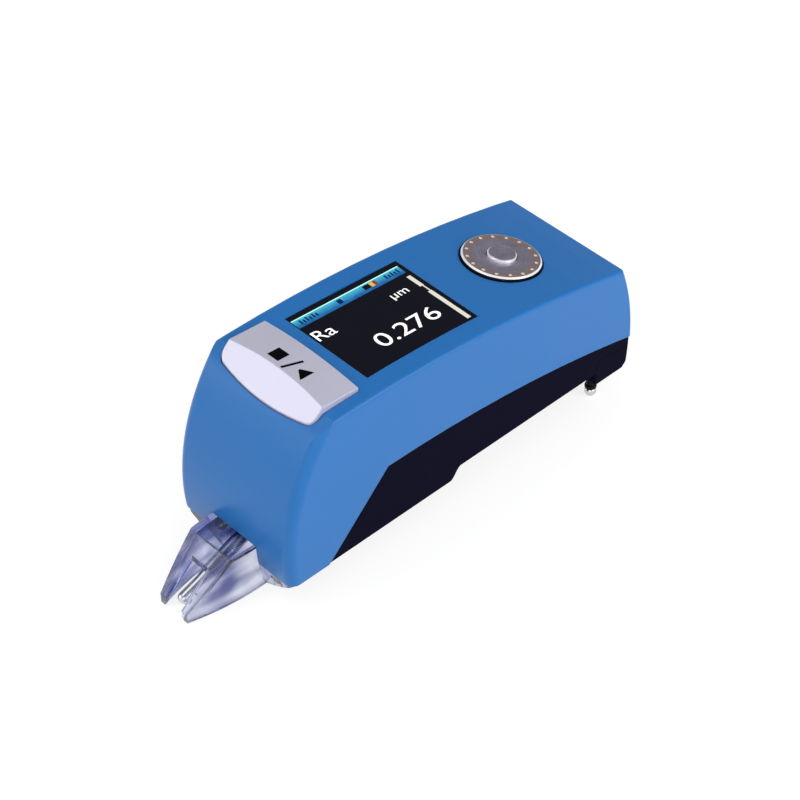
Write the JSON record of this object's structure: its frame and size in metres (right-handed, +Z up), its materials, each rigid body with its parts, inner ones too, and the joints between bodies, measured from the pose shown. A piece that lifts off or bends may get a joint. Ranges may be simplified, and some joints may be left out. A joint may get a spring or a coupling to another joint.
{
  "type": "surface roughness tester",
  "caption": "Handheld surface roughness tester with an arched blue housing, colour display, start button, jog dial, clear nose guard and a motor-driven skidded stylus pickup.",
  "frame": {"origin": "middle of the bounding box on the work surface the tester stands on", "axes": "+Z up, nose towards -X, width along Y"},
  "size_m": [0.17, 0.05, 0.07],
  "materials": {
    "housing": "fine satin paint, mid blue",
    "base": "fine grained near-black",
    "button": "satin silver lacquer",
    "window": "clear polished cover",
    "panel": "dark screen",
    "seal": "matt",
    "board": "solder mask green",
    "screw": "zinc plated",
    "dark_screw": "black oxide",
    "dial": "spun satin anodised",
    "switch": "moulded",
    "tray": "moulded",
    "battery": "wrapped cell",
    "frame": "milled",
    "rod": "ground",
    "brass": "turned",
    "motor": "drawn can",
    "pickup": "satin",
    "skid": "polished hard metal",
    "nose": "clear moulded",
    "foot": "black",
    "ball": "polished",
    "socket": "plated"
  },
  "bodies": {
    "body": {"top_housing": "housing", "start_switch": "switch", "display_window": "window", "display_seal": "seal", "display_panel": "panel", "main_board": "board", "board_screws": "screw", "select_switch": "switch", "encoder_sensor": "switch", "dial_board": "board", "dial_screws": "screw", "base_housing": "base", "base_screws": "dark_screw", "battery_tray": "tray", "tray_screws": "screw", "battery_pack": "battery", "drive_frame": "frame", "frame_screws": "screw", "guide_rods": "rod", "screw_bearings": "brass", "gearbox": "brass", "drive_motor": "motor", "motor_cradle": "tray", "motor_clamp": "frame", "clamp_screws": "screw", "nose_guard": "nose", "nose_screws": "screw", "foot_carrier": "base", "carrier_screws": "dark_screw", "foot_bushes": "brass", "usb_socket": "socket", "stand_insert": "brass"},
    "start_button": {"start_button": "button", "start_plunger": "switch"},
    "jog_dial": {"jog_dial": "dial", "encoder_rotor": "rod"},
    "select_button": {"select_button": "dial", "select_plunger": "switch"},
    "lead_screw": {"lead_screw": "rod", "shaft_coupling": "frame"},
    "carriage": {"carriage": "frame", "lead_nut": "brass", "rod_bushes": "brass", "pivot_pin": "rod"},
    "pickup": {"pickup_body": "pickup", "skid": "skid", "stylus_pin": "rod"},
    "stylus": {"stylus_lever": "pickup", "stylus_tip": "skid"},
    "left_foot": {"foot_post_left": "foot", "foot_ball_left": "ball"},
    "right_foot": {"foot_post_right": "foot", "foot_ball_right": "ball"}
  },
  "joints": [
    {"name": "start_press", "type": "slide", "parent": "body", "child": "start_button", "axis": [0, 0, -1], "range_m": [0, 0.0008], "stiffness_N_per_m": 1500},
    {"name": "dial_turn", "type": "hinge", "parent": "body", "child": "jog_dial", "pos_m": [0.0498, 0, 0.05874], "axis": [0.1851, 0, 0.9827], "continuous": true},
    {"name": "select_press", "type": "slide", "parent": "body", "child": "select_button", "axis": [-0.1851, 0, -0.9827], "range_m": [0, 0.0005], "stiffness_N_per_m": 2000},
    {"name": "screw_turn", "type": "hinge", "parent": "body", "child": "lead_screw", "pos_m": [0, 0, 0.0246], "axis": [1, 0, 0], "range_deg": [0, 3150]},
    {"name": "traverse", "type": "slide", "parent": "body", "child": "carriage", "axis": [1, 0, 0], "range_m": [0, 0.0175]},
    {"name": "pickup_swing", "type": "hinge", "parent": "carriage", "child": "pickup", "pos_m": [-0.0435, 0, 0.0175], "axis": [0, 1, 0], "range_deg": [0, 3]},
    {"name": "stylus_tilt", "type": "hinge", "parent": "pickup", "child": "stylus", "pos_m": [-0.06254, 0, 0.00846], "axis": [0, 1, 0], "range_deg": [-0.4, 1], "stiffness_Nm_per_rad": 0.004},
    {"name": "left_foot_height", "type": "slide", "parent": "body", "child": "left_foot", "axis": [0, 0, 1], "range_m": [-0.0015, 0.002]},
    {"name": "right_foot_height", "type": "slide", "parent": "body", "child": "right_foot", "axis": [0, 0, 1], "range_m": [-0.0015, 0.002]}
  ],
  "couplings": [
    {"joint": "screw_turn", "follows": "traverse", "rad_per_m": 3141.6}
  ]
}
